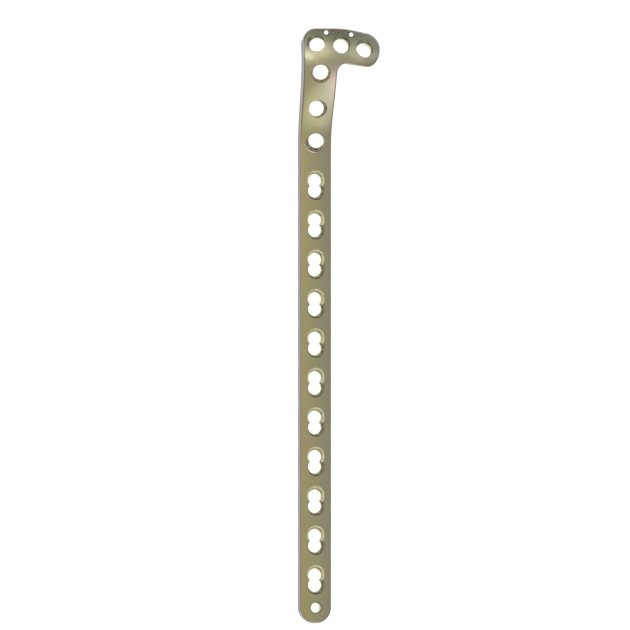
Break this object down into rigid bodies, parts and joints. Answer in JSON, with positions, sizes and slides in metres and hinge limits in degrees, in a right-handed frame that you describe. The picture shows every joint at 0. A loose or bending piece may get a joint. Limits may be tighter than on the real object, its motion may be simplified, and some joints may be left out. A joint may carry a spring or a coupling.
{
  "type": "orthopedic bone plate",
  "caption": "Contoured locking plate for the upper shin bone: straight shaft with combination screw holes, S-bend neck and L-shaped head with round holes.",
  "frame": {"origin": "where the axis of the round hole in the tip meets the bone side, on the centreline of the shaft", "axes": "+Y up the shaft from the tip to the head, +Z out of the outer side, +X towards the foot of the L"},
  "size_m": [0.0372, 0.272, 0.0154],
  "materials": {
    "anodised_titanium": "satin, anodised to an olive-gold tone"
  },
  "bodies": {
    "root": {"bone_plate": "anodised_titanium"}
  },
  "joints": []
}
